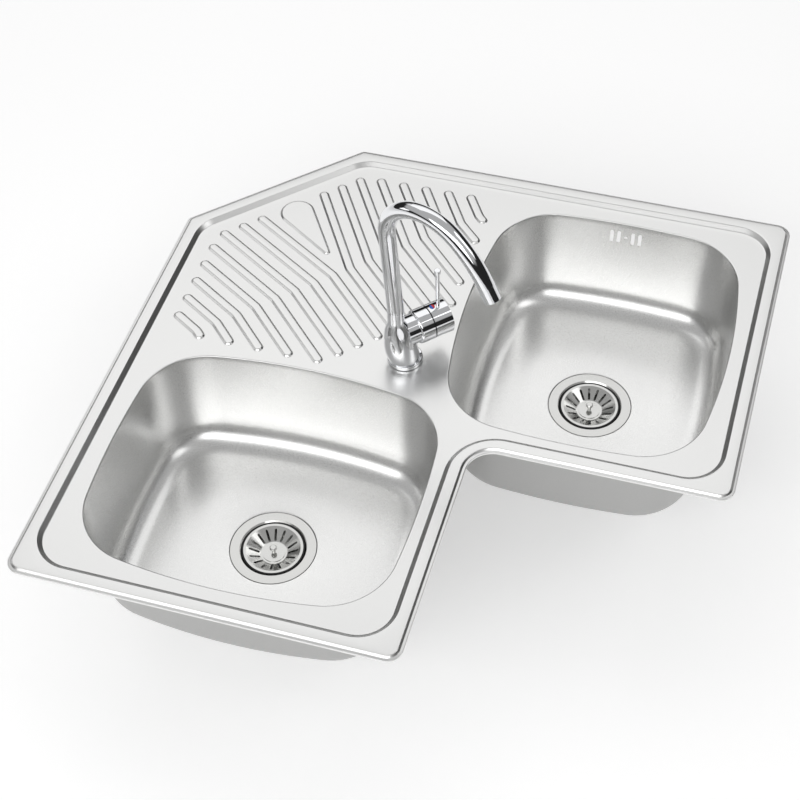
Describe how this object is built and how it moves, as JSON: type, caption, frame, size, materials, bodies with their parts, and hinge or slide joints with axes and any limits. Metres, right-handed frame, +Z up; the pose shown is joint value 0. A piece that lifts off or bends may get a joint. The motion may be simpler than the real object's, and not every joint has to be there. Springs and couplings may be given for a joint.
{
  "type": "corner kitchen sink",
  "caption": "L-shaped inset steel sink for a room corner: two deep bowls, ribbed drainer, lift-out basket strainers and a swan-neck mixer tap with a side pin lever.",
  "frame": {"origin": "on the tap's axis at worktop level, where the sink sits in its cut-out", "axes": "+Z up; +X to the right along the back wall; +Y towards the back wall; the top mirrors about the line x = -y"},
  "size_m": [0.83, 0.83, 0.5505],
  "materials": {
    "satin_steel": "satin, fine even grain",
    "strainer_steel": "bright, half polished",
    "clip_steel": "plain zinc-grey",
    "chrome": "polished",
    "brass": "turned",
    "black_rubber": "matt",
    "grey_foam": "closed-cell foam",
    "white_plastic": "moulded",
    "black_plastic": "moulded",
    "index_red": "gloss"
  },
  "bodies": {
    "sink": {"bowl_left": "satin_steel", "bowl_right": "satin_steel", "cartridge": "white_plastic", "cartridge_nut": "brass", "clip_bracket_1": "clip_steel", "clip_bracket_2": "clip_steel", "clip_bracket_3": "clip_steel", "clip_bracket_4": "clip_steel", "clip_bracket_5": "clip_steel", "clip_bracket_6": "clip_steel", "clip_claw_1": "clip_steel", "clip_claw_2": "clip_steel", "clip_claw_3": "clip_steel", "clip_claw_4": "clip_steel", "clip_claw_5": "clip_steel", "clip_claw_6": "clip_steel", "clip_screw_1": "clip_steel", "clip_screw_2": "clip_steel", "clip_screw_3": "clip_steel", "clip_screw_4": "clip_steel", "clip_screw_5": "clip_steel", "clip_screw_6": "clip_steel", "deck": "satin_steel", "gap_ring": "black_plastic", "rim_seal": "grey_foam", "shank_nut": "brass", "shank_plate": "clip_steel", "shank_washer": "black_rubber", "spout_collar": "chrome", "spout_washer": "white_plastic", "tap_base_ring": "chrome", "tap_base_seal": "black_rubber", "tap_body": "chrome", "tap_shank": "brass", "waste_body_left": "white_plastic", "waste_body_right": "white_plastic", "waste_flange_left": "strainer_steel", "waste_flange_right": "strainer_steel", "waste_gasket_lower_left": "black_rubber", "waste_gasket_lower_right": "black_rubber", "waste_gasket_upper_left": "black_rubber", "waste_gasket_upper_right": "black_rubber", "waste_screw_left": "clip_steel", "waste_screw_right": "clip_steel"},
    "spout": {"spout": "chrome", "aerator_housing": "chrome", "aerator_insert": "black_plastic"},
    "mixer": {"cartridge_rotor": "black_plastic"},
    "handle": {"cartridge_stem": "clip_steel", "handle_cap": "chrome", "lever_pin": "chrome", "index_button": "index_red", "grub_screw": "clip_steel"},
    "strainer_left": {"strainer_basket_left": "strainer_steel", "basket_seal_left": "black_rubber", "basket_knob_left": "strainer_steel"},
    "strainer_right": {"strainer_basket_right": "strainer_steel", "basket_seal_right": "black_rubber", "basket_knob_right": "strainer_steel"}
  },
  "joints": [
    {"name": "spout_swivel", "type": "hinge", "parent": "sink", "child": "spout", "pos_m": [-0.00778, -0.00778, 0.099], "axis": [0, 0, 1], "range_deg": [-113, 67]},
    {"name": "lever_mix", "type": "hinge", "parent": "sink", "child": "mixer", "pos_m": [0, 0, 0.05], "axis": [0.7071, 0.7071, 0], "range_deg": [-45, 45]},
    {"name": "lever_flow", "type": "hinge", "parent": "mixer", "child": "handle", "pos_m": [0.01414, 0.01414, 0.05], "axis": [-0.7071, 0.7071, 0], "range_deg": [0, 20]},
    {"name": "strainer_lift_left", "type": "slide", "parent": "sink", "child": "strainer_left", "axis": [0, 0, 1], "range_m": [0, 0.06]},
    {"name": "strainer_lift_right", "type": "slide", "parent": "sink", "child": "strainer_right", "axis": [0, 0, 1], "range_m": [0, 0.06]}
  ]
}
